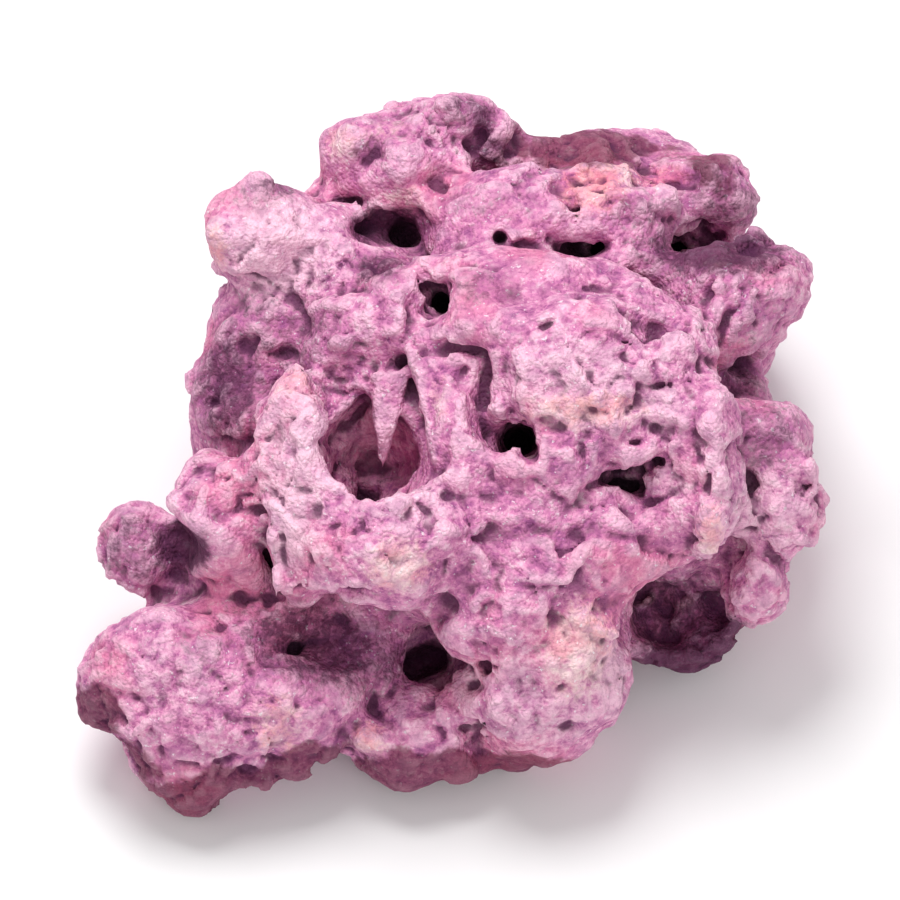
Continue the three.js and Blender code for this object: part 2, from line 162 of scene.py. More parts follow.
# Straight bridges of stone across holes: where each starts and ends on the seen face, radius, and how
# far out its middle lies.
BRIDGES = [
    ((28, 75.5), (57, 74), 5.4, -3.8),
    ((38, 82), (62, 80), 4.8, -4.0),
    ((36, 79), (54, 78), 4.8, -1.0),
    ((57, 64), (72, 60), 4.0, -3.0),
    ((40, -14), (64, -21), 5.8, -7.0),
    ((69, 3), (82, 3), 5.5, -4.5),
    ((62, 14), (84, 10), 5.5, -4.0),
    ((76, -2), (84, -4), 5.0, -3.5),
    ((-48, -7), (-31, -23), 5.6, -3.6),
    ((-72, -30), (-62, -47), 6.5, -4.0),
    ((4, -84), (17, -84), 5.5, -2.5),
]

# Small knobs: place, radius, and how far out the middle lies.
KNOBS = [
    ((-64, 86), 6.0, -1.0),
    ((-76, 72), 5.6, -1.5),
    ((3, 110), 7.5, -4.0),
    ((-31, 103), 7.5, -3.0),
    ((-27, -95.5), 5.2, -1.0),
    ((88, -28), 5.0, -2.0),
    ((116, -6), 5.0, -1.0),
    ((103, -40), 5.5, -2.0),
    ((71, 84), 6.5, -3.0),
    ((-16, 96), 8.0, -5.5),
    ((1, 97), 7.5, -4.0),
    ((5, -79), 6.5, -0.8),
    ((9, -85), 7.5, -1.8),
    ((7.5, -78), 4.0, -0.5),
    ((-62, -103), 8.0, -8.0),
    ((-52, -101), 9.5, -10.0),
    ((-43, -97), 8.0, -9.0),
    ((2, -103), 8.0, -8.0),
    ((8, -101), 7.0, -7.0),
    ((69, -13), 4.5, -1.5),
    ((-75, -44), 3.6, -0.4),
    ((-90, -17), 4.2, -1.2),
    ((66, -49.5), 2.4, 0.0),
    ((79, -51), 2.8, 0.0),
]

# Flat wedges: their three corners on the seen face, the tip last, how far the face lies out at the top,
# how much further at the tip, and their thickness.
WEDGES = [
    ([(-28, 27), (-11, 29), (-22.5, -6)], 1.0, 1.0, 11.0),
    ([(-14.5, 34), (3, 29), (-5.5, -5)], 3.5, 10.0, 10.0),
    ([(-59.5, -27), (-54.5, -27), (-57, -43)], 1.6, 0.0, 4.0),
]

# Paths on the seen face: about how far apart their points are, and the longest jump along the line of sight
# from one point to the next. Beyond it the path has left its form.
PATH_STEP = 4.0
LONGEST_JUMP = 9.0

# Over what width forms run softly into the surface: pits and grooves, added stone, wedges, and pores.
CUT_BLEND = 3.0
ADDED_BLEND = 4.0
WEDGE_BLEND = 2.0
PORE_BLEND = 1.2

# How far past its own size a form changes the field, and the same for a pore.
FORM_MARGIN = 3.0
PORE_MARGIN = 1.0

# The field is roughened in a band along the surface, and less and less over the last part of the band's
# width. Its squared slope is taken to be at least so much there.
BAND = 6.0
BAND_FADE = 3.0
LEAST_SQUARED_SLOPE = 0.3

# Layers of roughness: wavelength and reach. The first make round knobs with sharp creases between them,
# and the others plain unevenness.
KNOBBLES = [(21.0, 0.9), (10.0, 0.5), (4.6, 0.4)]
ROUGHNESS = [(7.5, 0.3), (3.0, 0.5)]

# Those round knobs are noise folded at zero, then stretched, and lowered to a mean of about zero.
KNOBBLE_STRETCH = 1.6
KNOBBLE_DROP = 0.55

# Calm and rough patches: their size, and the share of the relief in them: its mean, swing, least and most.
CALM_PATCHES = 46.0
CALM_SHARE = (0.85, 0.8, 0.4, 1.3)

# Chips: their size, how far they stand out, how steeply they tilt, and how deep the cracks around them are.
CHIPS = [(17.0, 0.85, 0.13, 0.3), (7.5, 0.45, 0.13, 0.35)]

# The width of those cracks as a share of a chip, and the wavelength and reach of the noise that bends them.
CHIP_CRACK = 0.06
CHIP_WARP = (11.0, 2.4)

# How many different chips there are, and large primes that scatter them over the rock.
CHIP_KINDS = 4096
CHIP_PRIMES = np.array([73856093, 19349663, 83492791])

# Ledges that overlap like flakes: wavelength of their waviness, height of one, and how far it stands out.
# Then how wavy they are, and the patches that have them, as above.
LEDGES = [(26.0, 17.0, 1.3), (14.0, 7.0, 0.45)]
LEDGE_WAVINESS = 0.45
LEDGE_PATCHES = 30.0
LEDGE_SHARE = (0.3, 0.9, 0.0, 1.0)

# Fine cracks: wavelength of the noise along whose zero they run, depth, and width as a share of its range.
CRACKS = (30.0, 0.7, 0.03)

# Small pits in groups: how many, least and greatest radius, the power that makes most of them small, the
# least and most they are stretched, how far apart the groups lie, and the chance of a pit between them.
PORES = 50
PORE_RADII = (0.8, 1.7)
PORE_SMALLNESS = 2.5
PORE_STRETCH = (0.6, 1.6)
PORE_GROUPS = 30.0
PORE_CHANCE_BETWEEN = 0.02

# Where the random numbers of each kind start. The layers of a kind count on from there.
PORE_SEED = 11
CALM_SEED = 90
PORE_GROUP_SEED = 91
KNOBBLE_SEED = 100
ROUGHNESS_SEED = 200
CRACK_SEED = 300
CHIP_WARP_SEED = 400
CHIP_SEED = 500
LEDGE_SEED = 600
LEDGE_PATCH_SEED = 620

# Vertices lower than this, in cells, are put on the ground.
FOOT_SNAP = 0.6

# Patches of colour and of painted light and shade on the seen face: place, half width, half height, turn in
# degrees, strength.
CREAM_PATCHES = [
    ((-17, -38), 11, 9, -20, 1.0),
    ((43, -66), 12, 15, 0, 1.0),
    ((59, 92), 20, 6, 5, 0.9),
    ((47, 87), 10, 8, 0, 0.9),
    ((44, 13), 19, 6, 0, 0.9),
    ((86, -27), 4.5, 10, 0, 1.0),
    ((-36, 103), 6, 6, 0, 0.9),
    ((-78, 68), 4, 10, 0, 0.9),
    ((-57, -92), 9, 11, 0, 0.8),
    ((-27, -96), 6, 6, 0, 0.9),
    ((-24, 106), 12, 4, 20, 0.6),
    ((-15, 84), 7, 4, 0, 0.7),
    ((-52, 23), 10, 5, 0, 0.7),
    ((88, 62), 6, 3, 0, 0.7),
    ((66, -50), 4, 2, 30, 0.9),
    ((79, -51), 4, 2, 30, 0.9),
    ((-4, 17), 4, 9, 0, 0.6),
]
ORANGE_PATCHES = [
    ((47, 87), 11, 9, 0, 1.2),
    ((70, 91), 10, 5, 0, 1.0),
    ((46, 15), 15, 4, 0, 0.9),
    ((-57, -92), 9, 11, 0, 0.45),
    ((-27, -96), 6, 6, 0, 0.5),
    ((-78, 68), 4, 10, 0, 0.7),
    ((-52, 23), 10, 5, 0, 0.4),
    ((48, -54), 8, 10, 0, 0.6),
]
# Painted highlight on faces and walls that catch the light, together with the stone's own palest pink.
PALE_AND_HIGHLIGHT_PATCHES = [
    ((-52, -3), 14, 32, 0, 1.0),
    ((-52, -22), 5, 18, 0, 1.5),
    ((-56, -35), 3, 7, 0, 1.3),
    ((-57, 68), 20, 20, 0, 1.2),
    ((40, 24), 26, 14, 0, 0.9),
    ((-12, -18), 14, 10, 0, 0.9),
    ((-22, 12), 5, 12, 0, 1.0),
    ((-92, -74), 16, 16, 0, 0.7),
    ((30, -83), 24, 22, 0, 0.8),
    ((86, -6), 6, 12, 0, 0.8),
    ((102, -18), 20, 16, 0, 0.9),
    ((70, 14), 9, 9, 0, 1.0),
    ((8, -80), 7, 11, 0, 1.1),
    ((53, -74), 6, 14, 0, 1.2),
    ((-14, 6), 5, 9, 0, 0.6),
    ((70, 32), 12, 12, 0, 0.6),
    ((44, 12), 18, 5, 0, 1.2),
    ((76, -10), 8, 8, 0, 0.8),
    ((-26, 80), 6, 5, 0, 0.9),
    ((-30, 2), 13, 14, 0, 0.9),
    ((-29, 42), 3, 5, 0, 1.0),
]
# Painted shade in recesses, under overhangs and on faces turned from the light, and in a few places the
# stone's own darker purple.
SHADE_PATCHES = [
    ((-44, -65), 28, 14, -10, 0.9),
    ((-20, -70), 10, 10, 0, 0.7),
    ((-82, -64), 9, 8, 0, 0.4),
    ((-65, 48), 11, 5, 0, 0.6),
    ((75, -56), 21, 13, 0, 0.9),
    ((79, -72), 18, 9, 0, 1.4),
    ((92, -64), 10, 10, 0, 1.2),
    ((76, 7.5), 8, 2.5, 0, 0.7),
    ((-74, 22), 12, 20, 0, 0.9),
    ((-89, -32), 9, 8, 0, 1.3),
    ((-106, -34), 12, 14, 0, 0.6),
    ((-52, 38), 22, 13, 0, 0.55),
    ((-23, -10), 7, 6, 0, 0.5),
    ((-24, 74), 18, 6, 8, 1.1),
    ((89, 67), 23, 9, 0, 1.2),
    ((-86, -31), 9, 8, 0, 2.0),
    ((-83, -31), 4, 7, 0, 1.4),
    ((10, 82), 11, 7, 0, 0.4),
    ((96, 80), 13, 12, 0, 0.6),
    ((98, 46), 20, 14, 0, 0.35),
    ((96, 24), 11, 8, 0, 0.8),
    ((104, 6), 13, 13, 0, 0.6),
    ((-8, -54), 8, 8, 0, 0.3),
    ((33, -27), 28, 4, 0, 0.35),
    ((-59, 87), 13, 4, 10, 0.7),
    ((14, 100), 8, 6, -30, 0.8),
    ((11, 110), 4, 7, 0, 0.9),
    ((84, 90), 10, 10, 0, 0.5),
    ((-14, 110), 18, 9, 0, 0.35),
    ((4, 113), 9, 8, 0, 0.6),
    ((18, 82), 14, 9, 0, 0.25),
    ((62, 80), 9, 7, 0, 0.6),
    ((-23, 60), 9, 7, 0, 0.9),
    ((10, 54), 10, 7, 0, 0.5),
    ((-27, 100), 7, 5, 0, 0.6),
    ((-9, -70), 11, 5, 25, 2.0),
]
# Painted shade on the lower flanks near the ground, and the dark reddish colour of the back lobes.
FLANK_SHADE_AND_BROWN_PATCHES = [
    ((-117, -88), 9, 10, 0, 1.2),
    ((-104, -102), 10, 5, -35, 1.0),
    ((-84, -118), 20, 9, 0, 1.2),
    ((-48, -104), 13, 6, 15, 1.5),
    ((-74, -111), 14, 6, 0, 1.3),
    ((-2, -108), 28, 8, 0, 1.4),
    ((23, -105), 22, 5, 0, 1.0),
    ((48, 102), 27, 8, 0, 1.0),
    ((88, 94), 10, 9, -30, 0.8),
]

# How far a patch reaches along the line of sight, as a share of its size, and at least how far.
PATCH_REACH = 1.8
LEAST_PATCH_REACH = 14.0

# A patch ends at this many times its half sizes, and has its full strength from 1 less inwards.
PATCH_END = 1.6

# The widths over which stone is counted around each point of the surface, in cells. The narrow one tells
# creases from crests, and the wide one tells caves from open faces. From them come the painted shade in
# creases and hollows and the painted highlight on crests.
HOLLOW_WIDTHS = {"crease": 1.8, "hollow": 6.0}

# Colours of the stone, as a screen shows them. The palest pink also serves as painted highlight, and the
# two darkest purples are painted shade in creases and hollows.
LILAC = (154, 82, 136)
MAUVE = (204, 121, 170)
PINK = (230, 152, 192)
PALE = (253, 210, 228)
WARM_PINK = (236, 128, 160)
CREASE_SHADE_PURPLE = (84, 34, 72)
HOLLOW_SHADE_PURPLE = (26, 9, 24)
CREAM = (255, 224, 222)
ORANGE = (252, 180, 188)
WHITE = (252, 244, 248)

# Tints by which the colour is multiplied: orange patches, painted shade on the lower flanks with the dark
# reddish colour of the back lobes, and painted purple shade.
ORANGE_TINT = (255, 220, 224)
FLANK_SHADE_AND_BROWN_TINT = (162, 134, 144)
SHADE_TINT = (122, 98, 120)

# Runs of colours: of the stone along its speckles, and of the cream patches along its blotches.
STONE_RUN = [(0.48, LILAC), (0.63, MAUVE), (0.76, PINK), (0.92, PALE)]
CREAM_RUN = [(0.40, ORANGE), (0.58, CREAM)]

# How much the blotches, the mottling and the grains count in those speckles.
BLOTCH_SHARE = 0.5
MOTTLE_SHARE = 0.75
GRAIN_SHARE = 0.14

# How each colour comes in: the values at which it starts and is complete, and how much of it there is then.
WARM_RANGE = (0.5, 0.68, 0.45)
PALE_AND_HIGHLIGHT_RANGE = (0.3, 1.3, 0.7)
CREST_HIGHLIGHT_RANGE = (0.50, 0.36, 0.5)
CREAM_RANGE = (0.3, 1.2, 0.8)
ORANGE_RANGE = (0.3, 1.2, 1.0)
CLUMP_RANGE = (0.5, 0.75, 0.3)
FLECK_RANGE = (0.64, 0.72, 0.6)
FLANK_SHADE_AND_BROWN_RANGE = (0.35, 0.8, 1.0)
SHADE_RANGE = (0.2, 1.1, 1.0)
CREASE_SHADE_RANGE = (0.51, 0.66, 0.85)
HOLLOW_SHADE_RANGE = (0.62, 0.92, 0.88)

# How strongly noise breaks up the edges of patches, and how much a patch of painted highlight takes off
# the hollowness, lessening the painted shade in hollows there.
RAGGEDNESS = 2.0
HIGHLIGHT_LIFT = -0.2

# Noises of the stone's texture: wavelength, detail, roughness and distortion.
BROAD_NOISE = (38.0, 2, 0.5, 0.0)
BLOTCH_NOISE = (10.0, 3, 0.6, 0.0)
MOTTLE_NOISE = (3.0, 4, 0.65, 0.3)
FLECK_NOISE = (2.2, 2, 0.7, 0.0)

# Its grains and clumps, and the wavelength and reach of the noise that bends the clumps.
GRAIN_SIZE = 1.3
CLUMP_SIZE = 5.0
CLUMP_BEND = (4.0, 4.0)

# The stone's bumps: their height and strength, and how much lower the edges of grains and clumps are.
BUMP_HEIGHT = 1.5
BUMP_STRENGTH = 0.9
GRAIN_RELIEF = -0.5
CLUMP_RELIEF = -0.8

STONE_ROUGHNESS = 0.85
STONE_SHINE = 0.3

# The floor, in metres, and its grey.
FLOOR_SIZE = 12
FLOOR_GREY = 0.9
FLOOR_ROUGHNESS = 0.8

# Lights: name, place and width in metres, power in watts. Then the point they face and the room's light.
LIGHTS = [
    ("from_behind_above", (-0.2, 0.42, 1.3), 0.7, 13.8),
    ("from_the_front", (0.3, -1.2, 1.1), 1.0, 4.9),
]
LIGHTS_FACE = (0, 0, 0.06)
ROOM_LIGHT = 0.6

# The camera: how much it sees across and how far away it is, in metres, and its sensor in millimetres.
CAMERA_ACROSS = 0.300
CAMERA_DISTANCE = 5.0
CAMERA_SENSOR = 36


def smooth_min(a, b, blend):
    """The lower of two distances, with a soft passage where they are nearly the same."""
    overlap = np.maximum(blend - np.abs(a - b), 0) / blend
    return np.minimum(a, b) - overlap * overlap * blend / 4


def smooth_max(a, b, blend):
    return -smooth_min(-a, -b, blend)


def seen_direction(turn_degrees):
    """The directions across and up as seen from the eye, turned about the line of sight."""
    turn = math.radians(turn_degrees)
    across = math.cos(turn) * RIGHT + math.sin(turn) * UP
    upwards = -math.sin(turn) * RIGHT + math.cos(turn) * UP
    return across, upwards


class CadRock:
    """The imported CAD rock: its triangles, and searches on them."""

    def __init__(self, node):
        mesh = node.data
        self.vertices = np.array([v.co for v in mesh.vertices]) * METRE
        mesh.calc_loop_triangles()
        triangles = [tuple(t.vertices) for t in mesh.loop_triangles]
        self.tree = BVHTree.FromPolygons([tuple(v) for v in self.vertices], triangles)
        self.low = self.vertices.min(0)
        self.high = self.vertices.max(0)

    def seen_point(self, right, up):
        """The point of the surface that is seen at a place, or None beside the rock."""
        start = right * RIGHT + (up + OUTLINE_MIDDLE_UP) * UP + RAY_START * TOWARDS_EYE
        found = self.tree.ray_cast(Vector(start), Vector(-TOWARDS_EYE))[0]
        return None if found is None else np.array(found)


class Field:
    """Distances from the rock's surface on a regular grid, negative in the stone."""

    def __init__(self, low, cell, values):
        self.low = low
        self.cell = cell
        self.values = values

    def around(self, low, high):
        """The part of the grid within a box: its slices, and its points."""
        first = np.maximum(np.floor((low - self.low) / self.cell).astype(int), 0)
        last = np.minimum(np.ceil((high - self.low) / self.cell).astype(int) + 1, self.values.shape)
        slices = tuple(slice(a, b) for a, b in zip(first, last))
        axes = [self.low[n] + self.cell * np.arange(first[n], last[n]) for n in range(3)]
        return slices, np.stack(np.meshgrid(*axes, indexing="ij"), -1)

    def add(self, low, high, distance, blend):
        """Adds stone within a box, where its distance is negative."""
        slices, points = self.around(low, high)
        self.values[slices] = smooth_min(self.values[slices], distance(points), blend)

    def cut(self, low, high, distance, blend):
        """Takes stone away within a box, where the distance is negative."""
        slices, points = self.around(low, high)
        self.values[slices] = smooth_max(self.values[slices], -distance(points), blend)

    def sampler(self, points):
        """A function that reads values on this grid at points, in straight lines between grid points."""
        just_before_last = np.array(self.values.shape) - 1.001
        place = np.clip((points - self.low) / self.cell, 0, just_before_last)
        corner = place.astype(np.int64)
        part = (place - corner).astype(np.float32)
        steps = list(np.ndindex(2, 2, 2))
        weights = [np.prod(np.where(step, part, 1 - part), axis=1) for step in steps]
        indices = [np.ravel_multi_index(tuple((corner + step).T), self.values.shape) for step in steps]
        return lambda values: sum(w * values.ravel()[i] for w, i in zip(weights, indices))


def blur(values, width):
    """A Gaussian blur, its width given in cells."""
    reach = int(math.ceil(BLUR_REACH * width))
    steps = np.arange(-reach, reach + 1)
    weights = np.exp(-0.5 * (steps / width) ** 2)
    weights /= weights.sum()
    for axis in range(3):
        padded = np.pad(values, [(reach, reach) if n == axis else (0, 0) for n in range(3)], mode="edge")
        length = values.shape[axis]
        total = np.zeros_like(values)
        for step, weight in zip(steps, weights):
            place = [slice(None)] * 3
            place[axis] = slice(reach + step, reach + step + length)
            total += weight * padded[tuple(place)]
        values = total
    return values


def stone_spans(rock, x, y, low, high):
    """The heights at which a line straight up goes into the stone and out of it again."""
    start = low
    heights = []
    while start < high:
        found = rock.tree.ray_cast(Vector((x, y, start)), Vector((0, 0, 1)))[0]
        if found is None:
            break
        heights.append(found.z)
        start = found.z + RAY_STEP
    return heights


def coarse_field(rock):
    """The CAD rock's own distances, in stone and in air."""
    low = rock.low - MARGIN
    shape = np.ceil((rock.high + MARGIN - low) / COARSE_CELL).astype(int) + 1
    values = np.empty(shape, dtype=np.float32)
    z = low[2] + COARSE_CELL * np.arange(shape[2])
    find = rock.tree.find_nearest
    for i in range(shape[0]):
        x = low[0] + COARSE_CELL * i + RAY_SHIFT[0]
        for j in range(shape[1]):
            y = low[1] + COARSE_CELL * j + RAY_SHIFT[1]
            away = np.array([find((x, y, height))[3] for height in z])
            crossings = stone_spans(rock, x, y, low[2], rock.high[2] + MARGIN)
            inside = np.searchsorted(crossings, z) % 2 == 1
            values[i, j] = np.where(inside, -away, away)
    return Field(low, COARSE_CELL, values)


def halved(field):
    """The same field on cells of half the size."""
    values = field.values
    for axis in range(3):
        values = np.moveaxis(values, axis, 0)
        finer = np.empty((2 * len(values) - 1, *values.shape[1:]), dtype=np.float32)
        finer[::2] = values
        finer[1::2] = (values[1:] + values[:-1]) / 2
        values = np.moveaxis(finer, 0, axis)
    return Field(field.low, field.cell / 2, values)


def soft_noise(field, wavelength, seed):
    """Smooth random values from about -1 to 1 on a field's grid, with waves of about a length.

    Each axis has evenly spaced knots, and cubic splines run between their random values."""
    random = np.random.default_rng(seed)
    weights = []
    for count in field.values.shape:
        place = np.arange(count) * field.cell / (KNOT_SPACING * wavelength)
        knot = place.astype(int)
        t = place - knot
        spline = [(1 - t) ** 3, 3 * t**3 - 6 * t**2 + 4, -3 * t**3 + 3 * t**2 + 3 * t + 1, t**3]
        matrix = np.zeros((count, knot.max() + 4), dtype=np.float32)
        for n in range(4):
            matrix[np.arange(count), knot + n] = spline[n] / 6
        weights.append(matrix)
    values = random.uniform(-1, 1, [w.shape[1] for w in weights]).astype(np.float32)
    for axis in range(3):
        values = np.moveaxis(np.tensordot(weights[axis], values, axes=(1, axis)), 0, axis)
    return values / (NOISE_SPREAD * values.std())


def ellipsoid_distance(points, centre, axes, radii):
    """About how far points are from an ellipsoid, negative inside it."""
    offset = points - centre
    along = [offset @ axis / radius for axis, radius in zip(axes, radii)]
    near = np.sqrt(sum(a * a for a in along))
    slope = np.sqrt(sum((a / radius) ** 2 for a, radius in zip(along, radii)))
    return near * (near - 1) / np.maximum(slope, LEAST_SLOPE)


def tapered_tube_distance(points, path, radii):
    """Distance from a tube along a path, its radius changing evenly from start to end."""
    nearest = np.full(points.shape[:-1], np.inf)
    for n in range(len(path) - 1):
        start, along = path[n], path[n + 1] - path[n]
        t = np.clip((points - start) @ along / (along @ along), 0, 1)
        away = np.linalg.norm(points - start - t[..., None] * along, axis=-1)
        share = (n + t) / (len(path) - 1)
        nearest = np.minimum(nearest, away - (radii[0] + share * (radii[1] - radii[0])))
    return nearest


def cut_ellipsoid(field, centre, axes, radii, margin, blend):
    reach = max(radii) + margin
    field.cut(centre - reach, centre + reach, lambda p: ellipsoid_distance(p, centre, axes, radii), blend)


def cut_pit(field, rock, place, across, upwards, depth, turn):
    centre = rock.seen_point(*place)
    axes = [*seen_direction(turn), TOWARDS_EYE]
    radii = (across, upwards, depth)
    cut_ellipsoid(field, centre, axes, radii, FORM_MARGIN, CUT_BLEND)


def surface_path(rock, places, outwards):
    """Points along the seen surface, a few millimetres apart, moved out towards the eye."""
    stations = [places[0]]
    for start, end in zip(places, places[1:]):
        steps = max(2, round(math.dist(start, end) / PATH_STEP))
        stations += [tuple(np.add(start, np.subtract(end, start) * n / steps)) for n in range(1, steps + 1)]
    path = []
    for station in stations:
        point = rock.seen_point(*station)
        if point is None:
            continue
        point = point + outwards * TOWARDS_EYE
        if not path or abs((point - path[-1]) @ TOWARDS_EYE) < LONGEST_JUMP:
            path.append(point)
    return path


def tube_box(path, radius):
    low = np.min(path, axis=0) - radius - FORM_MARGIN
    high = np.max(path, axis=0) + radius + FORM_MARGIN
    return low, high


def add_tube(field, path, radii):
    low, high = tube_box(path, max(radii))
    field.add(low, high, lambda p: tapered_tube_distance(p, path, radii), ADDED_BLEND)


def cut_groove(field, rock, places, radius, sunk):
    path = surface_path(rock, places, -sunk)
    low, high = tube_box(path, radius)
    field.cut(low, high, lambda p: tapered_tube_distance(p, path, (radius, radius)), CUT_BLEND)


def add_rib(field, rock, places, first_radius, last_radius, outwards):
    add_tube(field, surface_path(rock, places, outwards), (first_radius, last_radius))


def add_knob(field, rock, place, radius, outwards):
    centre = rock.seen_point(*place) + outwards * TOWARDS_EYE
    reach = radius + FORM_MARGIN

    def distance(points):
        return np.linalg.norm(points - centre, axis=-1) - radius

    field.add(centre - reach, centre + reach, distance, ADDED_BLEND)


def add_bridge(field, rock, start_place, end_place, radius, outwards):
    path = [rock.seen_point(*place) + outwards * TOWARDS_EYE for place in (start_place, end_place)]
    add_tube(field, path, (radius, radius))


def outline_distance(right, up, corners):
    """Distance from an outline without hollows, measured across the line of sight, negative inside it."""
    middle = np.mean(corners, axis=0)
    farthest = np.full(right.shape, -np.inf)
    for start, end in zip(corners, corners[1:] + corners[:1]):
        outwards = np.array([end[1] - start[1], start[0] - end[0]]) / math.dist(start, end)
        if outwards @ (middle - start) > 0:
            outwards = -outwards
        farthest = np.maximum(farthest, (right - start[0]) * outwards[0] + (up - start[1]) * outwards[1])
    return farthest


def add_wedge(field, rock, corners, outwards, rise, thickness):
    """A flat wedge across the line of sight, hanging from the surface at its first two corners."""
    top_left, top_right, tip = corners
    anchors = [rock.seen_point(*top_left), rock.seen_point(*top_right)]
    face = np.mean(anchors, axis=0) @ TOWARDS_EYE + outwards
    top = (top_left[1] + top_right[1]) / 2
    centres = [x * RIGHT + (y + OUTLINE_MIDDLE_UP) * UP + face * TOWARDS_EYE for x, y in corners]

    def distance(points):
        up = points @ UP - OUTLINE_MIDDLE_UP
        behind = face + rise * (top - up) / (top - tip[1]) - points @ TOWARDS_EYE
        from_middle = np.abs(behind - thickness / 2) - thickness / 2
        return smooth_max(outline_distance(points @ RIGHT, up, corners), from_middle, WEDGE_BLEND)

    field.add(*tube_box(centres, thickness + rise), distance, WEDGE_BLEND)


def cell_noise(points, size, seed):
    """Random cells of a size: for each point its cell's level from -1 to 1, how far the point lies along
    the cell's tilt, and how much farther the next cell's middle is than its own, as a share of the size."""
    random = np.random.default_rng(seed)
    middles = random.random((CHIP_KINDS, 3)).astype(np.float32)
    tilts = random.normal(size=(CHIP_KINDS, 3)).astype(np.float32)
    tilts /= np.linalg.norm(tilts, axis=1, keepdims=True)
    levels = random.uniform(-1, 1, CHIP_KINDS).astype(np.float32)
    place = (points / size).astype(np.float32)
    corner = np.floor(place).astype(np.int64)
    nearest = np.full(len(points), np.inf, dtype=np.float32)
    second = nearest.copy()
    level = np.zeros(len(points), dtype=np.float32)
    rise = level.copy()
    for step in np.ndindex(3, 3, 3):
        cell = corner + step - 1
        key = (cell @ CHIP_PRIMES) % CHIP_KINDS
        offset = place - cell - middles[key]
        away = np.sqrt((offset * offset).sum(1))
        nearer = away < nearest
        second = np.where(nearer, nearest, np.minimum(second, away))
        nearest = np.where(nearer, away, nearest)
        level = np.where(nearer, levels[key], level)
        rise = np.where(nearer, (offset * tilts[key]).sum(1), rise)
    return level, rise * size, second - nearest


def patchy(noise, amounts):
    """An amount that changes with noise: its mean, how far it swings, its least and its most are given."""
    mean, swing, least, most = amounts
    return np.clip(mean + swing * noise, least, most)


def chip_relief(field, feet, at_feet):
    """How far broken chips stand out at the feet."""
    wavelength, reach = CHIP_WARP
    warp = [at_feet(soft_noise(field, wavelength, CHIP_WARP_SEED + n)) for n in range(3)]
    warped = feet + reach * np.stack(warp, 1)
    relief = np.zeros(len(feet), dtype=np.float32)
    for n, (size, reach, tilt, crack) in enumerate(CHIPS):
        level, rise, gap = cell_noise(warped, size, CHIP_SEED + n)
        relief += reach * level + tilt * rise - crack * np.exp(-((gap / CHIP_CRACK) ** 2))
    return relief


def ledge_relief(field, feet, at_feet):
    """How far overlapping flakes stand out: each grows thicker downwards and ends in a sharp lower edge."""
    relief = np.zeros(len(feet), dtype=np.float32)
    for n, (wavelength, height, reach) in enumerate(LEDGES):
        waves = at_feet(soft_noise(field, wavelength, LEDGE_SEED + n))
        level = LEDGE_WAVINESS * waves - feet @ UP / height
        share = patchy(at_feet(soft_noise(field, LEDGE_PATCHES, LEDGE_PATCH_SEED + n)), LEDGE_SHARE)
        relief += reach * share * (level - np.floor(level) - 0.5)
    return relief


def knobble_relief(field, at_feet):
    """Round knobs with sharp creases between them, and plain unevenness."""
    relief = 0
    for n, (wavelength, reach) in enumerate(KNOBBLES):
        folded = np.abs(at_feet(soft_noise(field, wavelength, KNOBBLE_SEED + n)))
        relief += reach * (KNOBBLE_STRETCH * folded - KNOBBLE_DROP)
    for n, (wavelength, reach) in enumerate(ROUGHNESS):
        relief += reach * at_feet(soft_noise(field, wavelength, ROUGHNESS_SEED + n))
    return relief


def crack_relief(field, at_feet):
    """Fine cracks where a noise goes through zero."""
    wavelength, depth, width = CRACKS
    line = at_feet(soft_noise(field, wavelength, CRACK_SEED))
    return -depth * np.exp(-((line / width) ** 2))


def roughen(field):
    """Moves the surface in and out. Each grid point near it follows its foot, the nearest surface point."""
    near = np.abs(field.values) < BAND
    points = field.low + field.cell * np.argwhere(near)
    values = field.values[near]
    slope = np.stack([part[near] for part in np.gradient(field.values, field.cell)], 1)
    squared_slope = np.maximum((slope * slope).sum(1), LEAST_SQUARED_SLOPE)
    feet = points - (values / squared_slope)[:, None] * slope
    at_feet = field.sampler(feet)
    change = chip_relief(field, feet, at_feet) + ledge_relief(field, feet, at_feet)
    change += knobble_relief(field, at_feet)
    change *= patchy(at_feet(soft_noise(field, CALM_PATCHES, CALM_SEED)), CALM_SHARE)
    change += crack_relief(field, at_feet)
    fade = np.clip((BAND - np.abs(values)) / BAND_FADE, 0, 1)
    field.values[near] = values - fade * change
    field.values = blur(field.values, EDGE_SOFTNESS)


def random_axes(random):
    """Three directions at right angles, turned at random."""
    return np.linalg.qr(random.normal(size=(3, 3)))[0]


def cut_pores(field, points):
    """Small pits at random points of the surface, close together in some places and rare in others."""
    random = np.random.default_rng(PORE_SEED)
    grouping = field.sampler(points)(soft_noise(field, PORE_GROUPS, PORE_GROUP_SEED))
    chance = np.clip(grouping, 0, None) ** 2 + PORE_CHANCE_BETWEEN
    least, most = PORE_RADII
    for centre in points[random.choice(len(points), PORES, replace=False, p=chance / chance.sum())]:
        radius = least + (most - least) * random.random() ** PORE_SMALLNESS
        radii = radius * random.uniform(*PORE_STRETCH, 3)
        cut_ellipsoid(field, centre, random_axes(random), radii, PORE_MARGIN, PORE_BLEND)


def surface_net(field):
    """A mesh along the zero of the field: one vertex in each cell that it crosses, and its quads."""
    values = field.values
    inside = values < 0
    corners = [np.array(step) for step in np.ndindex(2, 2, 2)]
    count = np.zeros(np.subtract(inside.shape, 1), dtype=np.int8)
    for corner in corners:
        count += inside[tuple(slice(c, n - 1 + c) for c, n in zip(corner, inside.shape))]
    cells = np.argwhere((count > 0) & (count < len(corners)))
    vertices = field.low + field.cell * (cells + mean_crossing(values, cells, corners))
    index = np.full(values.shape, -1)
    index[tuple(cells.T)] = np.arange(len(cells))
    return vertices, np.concatenate([quads_across(inside, index, axis) for axis in range(3)])


